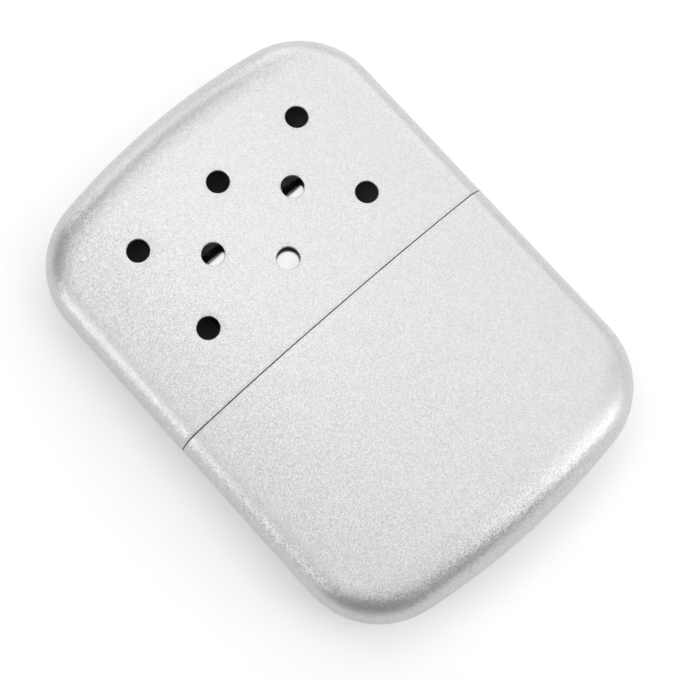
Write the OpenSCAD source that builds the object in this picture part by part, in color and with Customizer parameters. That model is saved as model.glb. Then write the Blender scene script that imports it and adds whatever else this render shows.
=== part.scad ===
// Catalytic hand warmer: a drawn fuel tank, a vented cap that slides over its
// collar, and a lift-off burner head on the filler neck.
// Millimetres. The warmer lies on its back: Z is up out of the front face,
// Y runs to the cap end, X runs across. Z = 0 is the plane it rests on, and
// X = Y = 0 is the middle of the whole warmer.

/* [Shells] */
// Width across the cap and the tank
body_w = 68; // [64:1:76]
// Thickness at the middle of the faces
body_t = 15; // [14.8:0.1:17]
// Length of the cap from the seam to its tip
cap_l = 46.2; // [42:0.1:56]
// Length of the tank from the seam to its tip
tank_l = 48.7; // [42:0.1:60]
// Radius of the rounded corners, seen from the front
corner_r = 15; // [11:0.5:19]
// Radius of the gently bowed ends, seen from the front
end_r = 132; // [90:1:200]
// How far each face falls from its flat middle to the side
face_drop = 3.8; // [3:0.1:4.2]
// Half width of the flat strip along the middle of each face
face_land = 3; // [1:0.5:6]
// How far the rounded edge reaches in from the side
side_round = 3.6; // [3.2:0.1:5]
// How far the rounded edge reaches in from the end
end_round = 5.6; // [4:0.1:8]
// Thickness of the drawn sheet with its coating
sheet_t = 0.5; // [0.4:0.05:0.7]
// Gap between the rims of the cap and the tank
seam_gap = 0.16; // [0.1:0.02:0.3]

/* [Vents] */
// Diameter of each vent
vent_d = 4; // [3:0.1:5]
// Step between vent columns, and between vent rows
vent_step = 8.9; // [8:0.1:9.5]
// Height of the lowest vent row above the seam
vent_first_y = 11.7; // [10:0.1:14]

/* [Collar and neck] */
// Height of the collar's top plate above the seam
collar_rise = 9; // [8.6:0.1:9.2]
// How far the collar reaches down into the tank
collar_depth = 6; // [3:0.5:10]
// Running gap between the collar and the shells
collar_gap = 0.1; // [0.06:0.02:0.2]
// Radius of the collar's rounded shoulder
shoulder_r = 1.6; // [1.4:0.1:1.8]
// Height of the neck's rim above the collar's top plate
neck_rise = 5.4; // [5.2:0.1:7]

/* [Burner] */
// Length of the burner cover across the warmer
cover_w = 32; // [30:0.5:34]
// Depth of the burner cover from front to back
cover_d = 11.4; // [11.2:0.1:11.8]
// Height of the burner cover's flat top above the seam
cover_top = 22; // [21.6:0.1:25]
// Thickness of the plated sheet of the cover and its frame
cover_t = 0.4; // [0.3:0.05:0.5]
// Radius of the cover's rounded shoulder
cover_round = 2.4; // [2:0.1:2.5]
// Height of the guard's dome above the cover's flat top
dome_rise = 1; // [0.6:0.1:1.4]
// Diameter of the holes in the guard
guard_hole_d = 0.9; // [0.6:0.05:1]

/* [Hidden] */
$fn = 48;

coat_colour = "#d8dadd";
plate_colour = "#b9bec3";
brass_colour = "#c9a961";
steel_colour = "#a8abae";
felt_colour = "#e9e4d6";
cotton_colour = "#f4f2ec";
mat_colour = "#cfcbc2";

// Steps of the lofted surfaces
round_steps = 6;
face_steps = 13;
corner_steps = 12;
end_steps = 5;
shoulder_steps = 4;
batt_corner_steps = 5;
batt_end_steps = 3;
ring_n = 4 * round_steps + 2 * face_steps;

half_w = body_w / 2;
half_t = body_t / 2;
corner_x = half_w - corner_r;
seam_y = (tank_l - cap_l) / 2;

// The rim of each drawn shell is broken by a small chamfer
rim_break = 0.12;

// Play of a snug fit, gap between pieces that rest on each other, overshoot of
// a blind cut, and a length that is longer than any piece
fit_play = 0.05;
rest_gap = 0.1;
cut_over = 1;
beyond = 60;

// Insets of the nested surfaces from the outside of the shells
collar_inset = sheet_t + collar_gap;
collar_lining = collar_inset + sheet_t;
wadding_inset = collar_lining + 2 * rest_gap;

// Everything in the burner is one oblong shape at different depths, all with
// the same straight run
run_x = (cover_w - cover_d) / 2;
cover_r = cover_d / 2;
cover_bore = cover_r - cover_t;
cover_stand = 0.5;
cover_foot = collar_rise + cover_stand;
cover_ceiling = cover_top - cover_t;
window_ledge = 0.65;
window_r = cover_r - cover_round - window_ledge;

// Filler neck
spring_room = 1.2;
neck_r = cover_bore - spring_room;
neck_t = 0.5;
neck_bore = neck_r - neck_t;
neck_flange_w = 0.5;
neck_flange_r = neck_r + neck_flange_w;
neck_flange_t = 0.5;
neck_base = collar_rise - sheet_t - neck_flange_t;
neck_top = collar_rise + neck_rise;
neck_bead_r = 0.3;
grille_ledge = 0.4;
grille_seat_t = 0.3;
grille_t = 0.4;
grille_hole_d = 1.8;
grille_step = 2.6;
grille_row_step = 2.3;
grille_columns = 9;
felt_t = 2.8;
felt_foot = neck_base - felt_t;

// The filling: three batts, front, middle and back, with a small gap between
batt_half = 2.15;
batt_gap = 0.1;

// Burner stack, from the window down: guard, mat, gauze, frame
flange_t = 0.25;
guard_sheet = 0.3;
guard_flange_w = 0.6;
guard_flange_r = window_r + guard_flange_w;
guard_foot = cover_ceiling - flange_t;
dome_play = 0.12;
dome_half = window_r - dome_play;
dome_h = cover_t + dome_rise;
dome_r = (dome_half * dome_half + dome_h * dome_h) / (2 * dome_h);
dome_y = cover_ceiling + dome_h - dome_r;
guard_step = 1.5;
guard_rows = 1.4;
guard_pairs = 7;
mat_t = 1.3;
mat_foot = guard_foot - mat_t;
mat_overlap = 0.8;
mat_r = guard_flange_r + mat_overlap;
gauze_t = 0.3;
gauze_foot = mat_foot - gauze_t;
gauze_hole_d = 1.2;
gauze_step = 1.8;
gauze_pairs = 6;
frame_r = cover_bore - fit_play;
frame_foot = neck_top + rest_gap;
frame_lip = 1.45;
frame_top_lip = 0.55;

// Grip springs sit in the gap between the cover and the neck
spring_t = 0.25;
spring_w = 12;
spring_foot_h = 1.3;
spring_bow_h = 3.4;
spring_reach = cover_bore - neck_r - rest_gap;
spring_sag = spring_reach - spring_t;
spring_r = (spring_bow_h * spring_bow_h / 4 + spring_sag * spring_sag) / (2 * spring_sag);
spring_top = frame_foot - 2 * rest_gap;

// ---- Lofted surfaces of the cap, the tank and the collar ----

// Height of the face above the mid-plane at x, for a surface set in by inset
function face_z(x, inset) =
    half_t - inset
    - face_drop * pow(max(0, abs(x) - face_land) / (half_w - face_land), 2);

// The front outline is a straight side, a corner arc and an end arc. A row is
// one place on it: [arc centre x, arc centre y, arc radius, turn angle, inset].
function side_row(y, inset) = [corner_x, y, corner_r, 0, inset];
function corner_y(l) = l - end_r + sqrt(pow(end_r - corner_r, 2) - pow(corner_x, 2));
function corner_turn(l) = atan2(corner_y(l) - l + end_r, corner_x);
function corner_rows(l, inset, steps) = [
    for (k = [0 : steps])
        [corner_x, corner_y(l), corner_r, corner_turn(l) * k / steps, inset]
];
function end_rows(l, inset, steps) = [
    for (k = [1 : steps - 1])
        let (turn = corner_turn(l))
        [0, l - end_r, end_r, turn + (90 - turn) * k / steps, inset]
];
function tip_row(l, inset) = [0, l - end_r, end_r, 90, inset];

// How far the rounded edge reaches in from the outline at this row
function edge_reach(row) =
    side_round * pow(cos(row[3]), 2) + end_round * pow(sin(row[3]), 2);

// A point of the rounded edge: q = 0 on the outline, q = 90 where the face starts
function edge_point(row, q, side, face) =
    let (
        set_in = row[4] + (edge_reach(row) - row[4]) * (1 - cos(q)),
        x = row[0] + (row[2] - set_in) * cos(row[3]),
        y = row[1] + (row[2] - set_in) * sin(row[3])
    )
    [side * x, y, face * face_z(x, row[4]) * sin(q)];

// A point of the face between the two rounded edges of a row
function face_point(row, step, face) =
    let (
        radius = row[2] - edge_reach(row),
        reach = row[0] + radius * cos(row[3]),
        land = min(face_land, reach / 3),
        half = (face_steps - 1) / 2,
        k = step <= half ? step : face_steps - step,
        x = land + (reach - land) * (1 - k / half)
    )
    [step <= half ? x : -x, row[1] + radius * sin(row[3]), face * face_z(x, row[4])];

// One closed ring of points round the warmer at a row
function ring(row) = concat(
    [for (i = [0 : round_steps]) edge_point(row, 90 * i / round_steps, 1, 1)],
    [for (j = [1 : face_steps - 1]) face_point(row, j, 1)],
    [for (i = [round_steps : -1 : 0]) edge_point(row, 90 * i / round_steps, -1, 1)],
    [for (i = [1 : round_steps]) edge_point(row, 90 * i / round_steps, -1, -1)],
    [for (j = [face_steps - 1 : -1 : 1]) face_point(row, j, -1)],
    [for (i = [round_steps : -1 : 1]) edge_point(row, 90 * i / round_steps, 1, -1)]
);
function rings(rows) = [for (row = rows) each ring(row)];

// At the tip both sides of a ring meet in one line of points, front to back
function tip_line(row) = [
    for (t = [0 : 2 * round_steps])
        edge_point(row, t <= round_steps ? 90 - 90 * t / round_steps
            : 90 * t / round_steps - 90, 1, t <= round_steps ? 1 : -1)
];
function tip_index(i) =
    i <= round_steps ? round_steps - i
    : i <= round_steps + face_steps ? 0
    : i <= 3 * round_steps + face_steps ? i - round_steps - face_steps
    : i <= 3 * round_steps + 2 * face_steps ? 2 * round_steps
    : 5 * round_steps + 2 * face_steps - i;

// Faces between two rings whose first points are at a and b
function band_faces(a, b) = [
    for (i = [0 : ring_n - 1])
        let (j = (i + 1) % ring_n)
        each [[a + i, a + j, b + j], [a + i, b + j, b + i]]
];
function skin_faces(first, rows_n) = [
    for (k = [0 : rows_n - 2]) each band_faces(first + k * ring_n, first + (k + 1) * ring_n)
];
// Faces between the last ring and the tip line
function tip_faces(ring_at, tip_at) = [
    for (i = [0 : ring_n - 1])
        let (
            j = (i + 1) % ring_n,
            u = tip_at + tip_index(i),
            v = tip_at + tip_index(j)
        )
        each concat([[ring_at + i, ring_at + j, v]], u == v ? [] : [[ring_at + i, v, u]])
];
function turned(faces) = [for (f = faces) [f[0], f[2], f[1]]];

// A drawn cup with its rim at rim_y and its tip at l, open towards the seam
module drawn_cup(l, rim_y, t) {
    function skin_rows(at_rim, inset) = concat(
        [side_row(rim_y, at_rim), side_row(rim_y + rim_break, inset)],
        corner_rows(l, inset, corner_steps),
        end_rows(l, inset, end_steps)
    );
    outside = skin_rows(rim_break, 0);
    inside = skin_rows(t, t);
    rows_n = len(outside);
    outer_n = rows_n * ring_n;
    tip_n = 2 * round_steps + 1;
    inner_at = outer_n + tip_n;
    polyhedron(
        points = concat(
            rings(outside), tip_line(tip_row(l, 0)),
            rings(inside), tip_line(tip_row(l, t))
        ),
        faces = concat(
            skin_faces(0, rows_n), tip_faces(outer_n - ring_n, outer_n),
            turned(skin_faces(inner_at, rows_n)),
            turned(tip_faces(inner_at + outer_n - ring_n, inner_at + outer_n)),
            turned(band_faces(0, inner_at))
        )
    );
}

// A solid that fills a cup from y = start to its tip
module filled_end(l, start, inset) {
    rows = concat(
        [side_row(start, inset)],
        corner_rows(l, inset, batt_corner_steps),
        end_rows(l, inset, batt_end_steps)
    );
    rows_n = len(rows);
    polyhedron(
        points = concat(rings(rows), tip_line(tip_row(l, inset))),
        faces = concat(
            skin_faces(0, rows_n),
            tip_faces((rows_n - 1) * ring_n, rows_n * ring_n),
            [[for (i = [ring_n - 1 : -1 : 0]) i]]
        )
    );
}

// A sleeve with a rounded shoulder and a flat top plate
module drawn_sleeve(foot, top, inset, t, round_r) {
    function shoulder(skin_t) = [
        for (k = [0 : shoulder_steps])
            let (q = 90 * k / shoulder_steps, r = round_r - skin_t)
            side_row(top - skin_t - r * (1 - sin(q)), inset + skin_t + r * (1 - cos(q)))
    ];
    outside = concat([side_row(foot, inset)], shoulder(0));
    inside = concat([side_row(foot, inset + t)], shoulder(t));
    rows_n = len(outside);
    inner_at = rows_n * ring_n;
    last = (rows_n - 1) * ring_n;
    polyhedron(
        points = concat(rings(outside), rings(inside)),
        faces = concat(
            skin_faces(0, rows_n),
            turned(skin_faces(inner_at, rows_n)),
            turned(band_faces(0, inner_at)),
            [[for (i = [0 : ring_n - 1]) last + i]],
            [[for (i = [ring_n - 1 : -1 : 0]) inner_at + last + i]]
        )
    );
}

// ---- Oblong pieces of the neck and the burner ----

// Puts a shape whose height runs along Z on the warmer's Y axis
module stand_up() {
    rotate([-90, 0, 0]) children();
}

// A round-ended plate of half depth r from height low to high
module oblong_plate(r, low, high) {
    translate([0, 0, low]) linear_extrude(high - low) {
        square([2 * run_x, 2 * r], center = true);
        for (side = [-1, 1]) translate([side * run_x, 0]) circle(r);
    }
}

// Carries a half profile (depth, height) round the oblong
module oblong_sweep() {
    for (side = [0, 180]) rotate(side) {
        translate([run_x, 0, 0]) rotate(-90) rotate_extrude(angle = 180) children();
        rotate([90, 0, 90]) linear_extrude(2 * run_x, center = true) children();
    }
}

// Places children on a staggered grid of 2 * pairs + 1 columns
module staggered_grid(step, row_gap, pairs) {
    for (column = [-pairs : pairs]) translate([column * step, 0, 0]) children();
    for (row = [-1, 1], column = [-pairs : pairs - 1])
        translate([(column + 0.5) * step, row * row_gap, 0]) children();
}

// Half profile of a sheet cup: outer depth r, top at high, wall t, shoulder round_r
module cup_profile(r, low, high, round_r) {
    translate([0, low]) square([r, high - low - round_r]);
    translate([0, low]) square([r - round_r, high - low]);
    translate([r - round_r, high - round_r]) circle(round_r);
}

// ---- Tank ----

module tank_shell() {
    color(coat_colour) mirror([0, 1, 0]) drawn_cup(tank_l, seam_gap / 2, sheet_t);
}

module shoulder_collar() {
    color(plate_colour) difference() {
        drawn_sleeve(-collar_depth, collar_rise, collar_inset, sheet_t, shoulder_r);
        stand_up()
            oblong_plate(neck_r + fit_play, collar_rise - 2 * sheet_t, collar_rise + sheet_t);
    }
}

module filler_neck() {
    rim_r = neck_t / 2;
    color(brass_colour) stand_up() oblong_sweep() {
        translate([neck_bore, neck_base]) square([neck_t, neck_top - neck_base - rim_r]);
        translate([neck_bore + rim_r, neck_top - rim_r]) circle(rim_r);
        translate([neck_bore, neck_base]) square([neck_flange_r - neck_bore, neck_flange_t]);
        translate([neck_bore - grille_ledge, neck_base]) square([neck_t, grille_seat_t]);
        intersection() {
            translate([neck_r, collar_rise + neck_bead_r]) circle(neck_bead_r);
            translate([neck_bore + rim_r, collar_rise]) square(2 * neck_bead_r + rim_r);
        }
    }
}

module neck_grille() {
    low = neck_base + grille_seat_t;
    color(steel_colour) stand_up() difference() {
        oblong_plate(neck_bore - fit_play, low, low + grille_t);
        for (row = [-1 : 1], column = [0 : grille_columns - 1])
            translate([(column - (grille_columns - 1) / 2) * grille_step, row * grille_row_step,
                low - cut_over])
                cylinder(d = grille_hole_d, h = grille_t + 2 * cut_over);
    }
}

module wick_felt() {
    color(felt_colour) stand_up() oblong_plate(neck_flange_r, felt_foot, neck_base);
}

// One batt of the filling between two depths
module wadding(low, high) {
    color(cotton_colour) intersection() {
        mirror([0, 1, 0]) filled_end(tank_l, -felt_foot, wadding_inset);
        translate([-half_w, -tank_l, low]) cube([body_w, tank_l + cap_l, high - low]);
    }
}

module wadding_front() {
    wadding(batt_half + batt_gap, half_t);
}

module wadding_middle() {
    wadding(-batt_half, batt_half);
}

module wadding_back() {
    wadding(-half_t, -batt_half - batt_gap);
}

// ---- Burner head ----

module burner_cover() {
    color(plate_colour) stand_up() oblong_sweep() difference() {
        cup_profile(cover_r, cover_foot, cover_top, cover_round);
        cup_profile(cover_bore, cover_foot - cut_over, cover_ceiling, cover_round - cover_t);
        square([window_r, beyond]);
    }
}

module burner_frame() {
    high = gauze_foot;
    color(steel_colour) stand_up() oblong_sweep() {
        translate([frame_r - cover_t, frame_foot]) square([cover_t, high - frame_foot]);
        translate([frame_r - cover_t - frame_lip, frame_foot]) square([frame_lip + cover_t, cover_t]);
        translate([frame_r - cover_t - frame_top_lip, high - cover_t])
            square([frame_top_lip + cover_t, cover_t]);
    }
}

module support_gauze() {
    color(steel_colour) stand_up() difference() {
        oblong_plate(frame_r - fit_play, gauze_foot, mat_foot);
        translate([0, 0, gauze_foot - cut_over])
            staggered_grid(gauze_step, gauze_step, gauze_pairs)
                cylinder(d = gauze_hole_d, h = gauze_t + 2 * cut_over);
    }
}

// A flat pad that swells up into the guard's dome
module catalyst_mat() {
    swell_r = dome_r - guard_sheet - fit_play;
    color(mat_colour) stand_up() {
        oblong_plate(mat_r, mat_foot, guard_foot);
        intersection() {
            oblong_plate(dome_half, mat_foot, cover_top + dome_rise);
            translate([0, 0, dome_y]) {
                for (side = [-1, 1]) translate([side * run_x, 0, 0]) sphere(swell_r);
                rotate([0, 90, 0]) cylinder(r = swell_r, h = 2 * run_x, center = true);
            }
        }
    }
}

// The domed guard: a flange under the cover's window and a pierced dome through it
module catalyst_guard() {
    color(steel_colour) stand_up() difference() {
        oblong_sweep() difference() {
            union() {
                intersection() {
                    translate([0, dome_y]) circle(dome_r);
                    translate([0, guard_foot]) square(beyond);
                }
                translate([0, guard_foot]) square([guard_flange_r, flange_t]);
            }
            translate([0, dome_y]) circle(dome_r - guard_sheet);
        }
        translate([0, 0, cover_ceiling]) staggered_grid(guard_step, guard_rows, guard_pairs)
            cylinder(d = guard_hole_d, h = beyond, $fn = 16);
    }
}

// A bowed leaf spring on the inside of the cover, facing the neck
module grip_spring() {
    color(steel_colour) stand_up() rotate([90, 0, 90]) linear_extrude(spring_w, center = true) {
        translate([cover_bore - spring_t, spring_top - spring_foot_h])
            square([spring_t, spring_foot_h]);
        intersection() {
            translate([cover_bore - spring_reach + spring_r,
                spring_top - spring_foot_h - spring_bow_h / 2])
                difference() {
                    circle(spring_r);
                    circle(spring_r - spring_t);
                }
            translate([0, collar_rise]) square([cover_bore, spring_top - collar_rise]);
        }
    }
}

module grip_spring_front() {
    mirror([0, 0, 1]) grip_spring();
}

module grip_spring_back() {
    grip_spring();
}

// ---- Cap ----

module vents() {
    for (row = [0 : 2], column = row == 1 ? [-1, 1] : [-2, 0, 2])
        translate([column * vent_step, vent_first_y + row * vent_step, 0])
            cylinder(d = vent_d, h = body_t);
}

module cap_shell() {
    color(coat_colour) difference() {
        drawn_cup(cap_l, seam_gap / 2, sheet_t);
        vents();
    }
}

// ---- The warmer on its back, its middle over the origin ----

module placed() {
    translate([0, seam_y, half_t]) children();
}

placed() tank_shell();
placed() shoulder_collar();
placed() filler_neck();
placed() neck_grille();
placed() wick_felt();
placed() wadding_front();
placed() wadding_middle();
placed() wadding_back();
placed() burner_cover();
placed() burner_frame();
placed() support_gauze();
placed() catalyst_mat();
placed() catalyst_guard();
placed() grip_spring_front();
placed() grip_spring_back();
placed() cap_shell();
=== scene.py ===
"""Catalytic hand warmer: every surface and finish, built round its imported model.

The warmer lies on its back on a pale studio floor. Sizes here are millimetres in
the maker's frame, where y = 0 is the seam between cap and tank and z = 0 is the
middle of the thickness. DrawnForm.place says where that lies in the scene, in metres.
"""
import logging
import math
from dataclasses import dataclass
from enum import IntEnum

import bpy
import numpy as np
from mathutils import Matrix, Vector


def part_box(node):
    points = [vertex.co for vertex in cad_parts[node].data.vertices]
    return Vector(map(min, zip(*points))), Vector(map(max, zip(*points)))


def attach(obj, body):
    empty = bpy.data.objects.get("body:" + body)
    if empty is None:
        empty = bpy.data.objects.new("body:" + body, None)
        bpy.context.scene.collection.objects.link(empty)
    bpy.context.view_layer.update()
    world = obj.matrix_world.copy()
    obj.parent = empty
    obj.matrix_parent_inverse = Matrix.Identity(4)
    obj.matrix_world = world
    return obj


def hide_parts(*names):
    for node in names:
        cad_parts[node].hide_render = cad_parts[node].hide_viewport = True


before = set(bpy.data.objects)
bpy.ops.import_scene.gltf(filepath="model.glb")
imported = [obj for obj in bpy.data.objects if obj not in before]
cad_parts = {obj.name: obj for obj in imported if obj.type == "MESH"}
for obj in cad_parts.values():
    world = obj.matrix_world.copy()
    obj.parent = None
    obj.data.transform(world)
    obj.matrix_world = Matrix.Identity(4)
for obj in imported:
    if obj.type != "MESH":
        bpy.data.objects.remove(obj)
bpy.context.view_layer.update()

log = logging.getLogger("hand_warmer")
logging.basicConfig(level=logging.INFO, format="%(name)s: %(message)s")

Array = np.ndarray
Pair = tuple[float, float]
Triple = tuple[float, float, float]
Material = bpy.types.Material
Tree = bpy.types.NodeTree
Socket = bpy.types.NodeSocket

MM = 0.001
WELD = 2e-4  # points that lie closer than this, in millimetres, are one
DRAW_DEPTH = 0.02 * MM  # how deep the press leaves its draw lines


# ---------------------------------------------------------------- surfaces


class Skin(IntEnum):
    """Which finish of its piece a face takes."""

    OUTSIDE = 0
    INSIDE = 1


@dataclass
class Surface:
    """Points in millimetres, four-cornered faces between them, and each face's finish."""

    points: Array
    quads: Array
    finish: Array

    @classmethod
    def grid(cls, points: Array, wrap_rows: bool = False, wrap_columns: bool = False,
             finish: int = Skin.OUTSIDE, keep: Array | None = None) -> "Surface":
        """Joins neighbouring points of a grid with faces.

        A face's corners run along the row first, so it points along
        (along the row) x (on to the next row).

        Args:
            points: Grid of points, shaped (rows, columns, 3).
            wrap_rows: Whether the last row joins the first.
            wrap_columns: Whether the last column joins the first.
            finish: Finish number of every face.
            keep: Which faces exist, shaped as the grid of faces.

        Returns:
            The surface.
        """
        rows, columns = points.shape[:2]
        number = np.arange(rows * columns).reshape(rows, columns)
        if wrap_rows:
            number = np.vstack([number, number[:1]])
        if wrap_columns:
            number = np.hstack([number, number[:, :1]])
        quads = np.stack([number[:-1, :-1], number[:-1, 1:], number[1:, 1:], number[1:, :-1]], -1)
        if keep is not None:
            quads = quads[keep]
        quads = quads.reshape(-1, 4)
        return cls(points.reshape(-1, 3), quads, np.full(len(quads), int(finish)))

    @classmethod
    def joined(cls, parts: "list[Surface]") -> "Surface":
        """All the parts as one surface."""
        starts = np.cumsum([0] + [len(part.points) for part in parts[:-1]])
        return cls(
            np.vstack([part.points for part in parts]),
            np.vstack([part.quads + start for part, start in zip(parts, starts)]),
            np.concatenate([part.finish for part in parts]),
        )

    def turned(self) -> "Surface":
        """The same surface facing the other way."""
        return Surface(self.points, self.quads[:, ::-1], self.finish)

    def mirrored(self, axis: int) -> "Surface":
        """The mirror image across the plane where coordinate number axis is 0, still facing out."""
        flip = np.ones(3)
        flip[axis] = -1
        return Surface(self.points * flip, self.quads[:, ::-1], self.finish)

    def object(self, name: str, materials: list[Material], place: Vector) -> bpy.types.Object:
        """Makes the piece: welds points that coincide and drops corners and faces that vanish.

        Args:
            name: Name of the piece.
            materials: Its materials, in the order of the finish numbers.
            place: Where the maker's origin lies in the scene, in metres.

        Returns:
            The new object, linked to the scene.
        """
        _, first, welded = np.unique(
            np.round(self.points / WELD).astype(np.int64), axis=0, return_index=True, return_inverse=True)
        corners = welded.reshape(-1)[self.quads]
        distinct = corners != np.roll(corners, 1, axis=1)
        sound = distinct.sum(1) > 2
        loops = corners[sound][distinct[sound]]
        totals = distinct[sound].sum(1)
        points = self.points[first] * MM + np.array(place)

        mesh = bpy.data.meshes.new(name)
        mesh.vertices.add(len(points))
        mesh.vertices.foreach_set("co", points.astype(np.float32).ravel())
        mesh.loops.add(len(loops))
        mesh.loops.foreach_set("vertex_index", loops.astype(np.int32))
        mesh.polygons.add(len(totals))
        mesh.polygons.foreach_set("loop_start", (np.cumsum(totals) - totals).astype(np.int32))
        mesh.polygons.foreach_set("material_index", self.finish[sound].astype(np.int32))
        mesh.polygons.foreach_set("use_smooth", np.ones(len(totals), bool))
        for material in materials:
            mesh.materials.append(material)
        mesh.update(calc_edges=True)
        mesh.validate()
        piece = bpy.data.objects.new(name, mesh)
        bpy.context.scene.collection.objects.link(piece)
        return piece


# ---------------------------------------------------------------- the drawn form


def quarter(steps: int) -> Array:
    """Angles from 0 to a quarter turn, both included."""
    return np.linspace(0, math.pi / 2, steps + 1)


def rounding(radius: float, turn: Array) -> tuple[Array, Array]:
    """How far a rounded edge drops and draws in: the radius times 1 - sin and times 1 - cos of the turn."""
    return radius * (1 - np.sin(turn)), radius * (1 - np.cos(turn))


@dataclass(frozen=True)
class Stations:
    """Places along the outline: arc centre, arc radius, turn angle and side, one each per station."""

    centre_x: Array
    centre_y: Array
    radius: Array
    turn: Array
    side: Array


@dataclass
class DrawnForm:
    """The pressed shape that the cap, the tank and the collar share, in millimetres.

    Seen from the front, the outline is a straight side, a corner arc and a long
    end arc. Each face is flat along its middle and falls away as a square law,
    and a rounded edge joins front to back. The edge is fuller than an ellipse, so
    that it leaves the face without a crease.
    """

    half_w: float
    half_t: float
    cap_l: float
    tank_l: float
    seam_y: float
    seam_gap: float
    corner_r: float = 15.0
    end_r: float = 132.0
    face_drop: float = 3.8
    face_land: float = 3.0
    side_round: float = 4.0
    end_round: float = 8.0
    side_fullness: float = 2.5
    end_fullness: float = 3.0
    sheet: float = 0.5
    table_n: int = 4001

    @classmethod
    def from_frame(cls) -> "DrawnForm":
        """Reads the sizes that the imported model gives."""
        cap_low, cap_high = (np.array(corner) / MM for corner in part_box("cap_shell"))
        tank_low, tank_high = (np.array(corner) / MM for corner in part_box("tank_shell"))
        seam_y = (cap_low[1] + tank_high[1]) / 2
        return cls(
            half_w=cap_high[0],
            half_t=cap_high[2] / 2,
            cap_l=cap_high[1] - seam_y,
            tank_l=seam_y - tank_low[1],
            seam_y=seam_y,
            seam_gap=cap_low[1] - tank_high[1],
        )

    @property
    def place(self) -> Vector:
        """The maker's origin in the scene, in metres."""
        return Vector((0, self.seam_y, self.half_t)) * MM

    def face_height(self, x: Array, inset: Array | float) -> Array:
        """Height of the front face: half the thickness less the drop times the square of the way out."""
        out = np.maximum(0, np.abs(x) - self.face_land) / (self.half_w - self.face_land)
        return self.half_t - inset - self.face_drop * out ** 2

    def edge_reach(self, turn: Array) -> Array:
        """How far the rounded edge reaches in: the side's amount turning into the end's."""
        return self.side_round * np.cos(turn) ** 2 + self.end_round * np.sin(turn) ** 2

    def fullness(self, turn: Array) -> Array:
        """Power of the rounded edge's curve, 2 for an ellipse: the side's turning into the end's."""
        return self.side_fullness * np.cos(turn) ** 2 + self.end_fullness * np.sin(turn) ** 2

    def straight(self, y: Array, side: float = 1.0) -> Stations:
        """Stations on the straight side at the heights y."""
        one = np.ones_like(y)
        return Stations(one * (self.half_w - self.corner_r), y, one * self.corner_r, one * 0, one * side)

    def bend(self, length: float, turn: Array, side: Array) -> Stations:
        """Stations on the corner arc, and past its end on the long end arc.

        Both arcs meet on the line through both centres, which gives the turn where they meet.

        Args:
            length: From the seam to the tip.
            turn: Turn angles from 0 at the side to a quarter turn at the tip.
            side: 1 for the right half and -1 for the left.
        """
        corner_x = self.half_w - self.corner_r
        between = self.end_r - self.corner_r
        corner_y = length - self.end_r + math.sqrt(between ** 2 - corner_x ** 2)
        meets = math.acos(corner_x / between)
        corner = turn < meets
        return Stations(
            np.where(corner, corner_x, 0.0),
            np.where(corner, corner_y, length - self.end_r),
            np.where(corner, self.corner_r, self.end_r),
            turn,
            side,
        )

    def face_rim(self, stations: Stations) -> tuple[Array, Array]:
        """Where the face meets the rounded edge at each station, as x and y."""
        reach = stations.radius - self.edge_reach(stations.turn)
        x = stations.centre_x + reach * np.cos(stations.turn)
        return stations.side * x, stations.centre_y + reach * np.sin(stations.turn)

    def edge(self, stations: Stations, around: Array, inset: Array | float) -> Array:
        """Points of the rounded edge.

        At the angle q the edge is set in from the outline by the inset plus the rest
        of its reach times (1 - c), where c is cos q to the power of 2 over the
        fullness, and its height is the face's times sin q.

        Args:
            stations: Where along the outline, one per row.
            around: Angles from a quarter turn back to a quarter turn front, one per column.
            inset: Distance of this skin inside the outside, one for all or one per row.
        """
        inset = np.broadcast_to(inset, stations.turn.shape)[:, None]
        turn = stations.turn[:, None]
        reach = self.edge_reach(turn)
        bow = np.abs(np.cos(around)) ** (2 / self.fullness(turn))
        radius = stations.radius[:, None] - inset - (reach - inset) * (1 - bow)
        x = stations.centre_x[:, None] + radius * np.cos(turn)
        y = stations.centre_y[:, None] + radius * np.sin(turn)
        z = self.face_height(x, inset) * np.sin(around)
        return np.stack([stations.side[:, None] * x, y, z], -1)

    def turn_at(self, length: float, wanted: Array, axis: int) -> Array:
        """The turn at which the face rim reaches an x (axis 0) or a y (axis 1), read off a fine table."""
        turn = np.linspace(0, math.pi / 2, self.table_n)
        rim = self.face_rim(self.bend(length, turn, np.ones_like(turn)))[axis]
        if axis == 0:
            return np.interp(-np.abs(wanted), -rim, turn)
        return np.interp(wanted, rim, turn)

    def ring(self, y: Array, inset: Array, columns: Array, steps: int) -> Array:
        """Closed rings round the straight part, one per height.

        Args:
            y: Height of each ring.
            inset: Distance of each ring inside the outside.
            columns: Places across the face from -1 to 1.
            steps: Steps of a quarter of the rounded edge.

        Returns:
            Points shaped (rings, points round the ring, 3): front face from right to left,
            left edge, back face, right edge.
        """
        around = np.concatenate([-quarter(steps)[:0:-1], quarter(steps)])
        right = self.edge(self.straight(y), around, inset)
        left = self.edge(self.straight(y, -1.0), around, inset)
        rim_x = self.face_rim(self.straight(y))[0][:, None]
        x = rim_x * columns[None, ::-1]
        high = self.face_height(x, inset[:, None])
        level = np.broadcast_to(y[:, None], x.shape)
        front = np.stack([x, level, high], -1)
        back = np.stack([-x, level, -high], -1)
        return np.concatenate([front[:, :-1], left[:, ::-1][:, :-1], back[:, :-1], right[:, :-1]], 1)


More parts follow.
